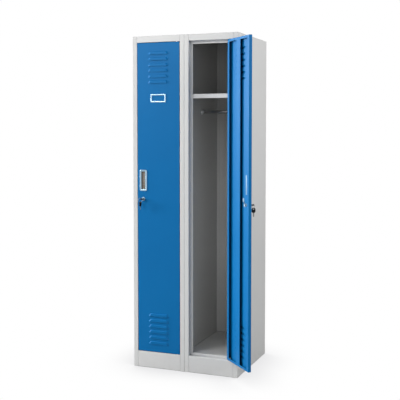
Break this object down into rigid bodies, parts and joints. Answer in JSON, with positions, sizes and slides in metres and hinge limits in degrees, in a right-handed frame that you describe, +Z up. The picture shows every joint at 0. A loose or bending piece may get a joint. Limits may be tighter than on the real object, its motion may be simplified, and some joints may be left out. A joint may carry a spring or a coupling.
{
  "type": "locker cabinet",
  "caption": "Tall steel wardrobe locker with hinged louvred doors, recessed handles, cam locks with keys, top shelves and hanging rods behind each door.",
  "frame": {"origin": "middle of the carcass footprint, on the floor, on the foot of the centre partition", "axes": "+X to the right seen from the front, +Y to the back, +Z up; the door faces point to -Y"},
  "size_m": [0.7329, 0.6672, 1.8],
  "materials": {
    "body_paint": "light grey powder coat, satin, fine orange peel",
    "door_paint": "blue powder coat, satin, fine orange peel",
    "chrome": "bright plated die casting",
    "bright_steel": "zinc plated",
    "white_nylon": "natural nylon",
    "key_black": "black moulded bow on a nickel blade"
  },
  "bodies": {
    "cabinet": {"left_side_panel": "body_paint", "right_side_panel": "body_paint", "centre_partition": "body_paint", "centre_stile": "body_paint", "top_panel": "body_paint", "back_panel": "body_paint", "left_top_rail": "body_paint", "left_plinth": "body_paint", "left_floor_panel": "body_paint", "left_shelf": "body_paint", "left_rod_socket_left": "bright_steel", "left_rod_socket_right": "bright_steel", "left_hanging_rod": "bright_steel", "left_top_hinge_pin": "bright_steel", "left_bottom_hinge_pin": "bright_steel", "right_top_rail": "body_paint", "right_plinth": "body_paint", "right_floor_panel": "body_paint", "right_shelf": "body_paint", "right_rod_socket_left": "bright_steel", "right_rod_socket_right": "bright_steel", "right_hanging_rod": "bright_steel", "right_top_hinge_pin": "bright_steel", "right_bottom_hinge_pin": "bright_steel"},
    "left_door": {"left_door_panel": "door_paint", "left_door_stiffener": "door_paint", "left_top_bush": "white_nylon", "left_bottom_bush": "white_nylon", "left_label_holder": "chrome", "left_handle": "chrome", "left_lock_body": "chrome", "left_lock_nut": "bright_steel"},
    "left_lock": {"left_lock_plug": "chrome", "left_lock_cam": "chrome", "left_cam_screw": "bright_steel"},
    "left_inserted_key": {"left_key": "key_black"},
    "left_ring": {"left_key_ring": "chrome"},
    "left_hanging_key": {"left_spare_key": "key_black"},
    "right_door": {"right_door_panel": "door_paint", "right_door_stiffener": "door_paint", "right_top_bush": "white_nylon", "right_bottom_bush": "white_nylon", "right_label_holder": "chrome", "right_handle": "chrome", "right_lock_body": "chrome", "right_lock_nut": "bright_steel"},
    "right_lock": {"right_lock_plug": "chrome", "right_lock_cam": "chrome", "right_cam_screw": "bright_steel"},
    "right_inserted_key": {"right_key": "key_black"},
    "right_ring": {"right_key_ring": "chrome"},
    "right_hanging_key": {"right_spare_key": "key_black"}
  },
  "joints": [
    {"name": "left_door_hinge", "type": "hinge", "parent": "cabinet", "child": "left_door", "pos_m": [-0.0415, -0.245, 0], "axis": [0, 0, 1], "range_deg": [0, 135]},
    {"name": "left_lock_turn", "type": "hinge", "parent": "left_door", "child": "left_lock", "pos_m": [-0.239, -0.245, 0.926], "axis": [0, -1, 0], "range_deg": [0, 90]},
    {"name": "left_key_slide", "type": "slide", "parent": "left_lock", "child": "left_inserted_key", "axis": [0, -1, 0], "range_m": [0, 0.018]},
    {"name": "left_ring_slip", "type": "hinge", "parent": "left_inserted_key", "child": "left_ring", "pos_m": [-0.2471, -0.2736, 0.9197], "axis": [0, -1, 0], "range_deg": [-90, 0]},
    {"name": "left_spare_swing", "type": "hinge", "parent": "left_ring", "child": "left_hanging_key", "pos_m": [-0.2471, -0.2736, 0.9087], "axis": [1, 0, 0], "range_deg": [-60, 25]},
    {"name": "right_door_hinge", "type": "hinge", "parent": "cabinet", "child": "right_door", "pos_m": [0.2585, -0.245, 0], "axis": [0, 0, 1], "range_deg": [-135, 0]},
    {"name": "right_lock_turn", "type": "hinge", "parent": "right_door", "child": "right_lock", "pos_m": [0.39815, -0.38465, 0.926], "axis": [0.7071, 0.7071, 0], "range_deg": [0, 90]},
    {"name": "right_key_slide", "type": "slide", "parent": "right_lock", "child": "right_inserted_key", "axis": [0.7071, 0.7071, 0], "range_m": [0, 0.018]},
    {"name": "right_ring_slip", "type": "hinge", "parent": "right_inserted_key", "child": "right_ring", "pos_m": [0.4241, -0.37016, 0.9197], "axis": [0.7071, 0.7071, 0], "range_deg": [-90, 0]},
    {"name": "right_spare_swing", "type": "hinge", "parent": "right_ring", "child": "right_hanging_key", "pos_m": [0.4241, -0.37016, 0.9087], "axis": [-0.7071, 0.7071, 0], "range_deg": [-60, 25]}
  ],
  "couplings": [
    {"joint": "left_ring_slip", "follows": "left_lock_turn", "ratio": -1},
    {"joint": "right_ring_slip", "follows": "right_lock_turn", "ratio": -1}
  ]
}
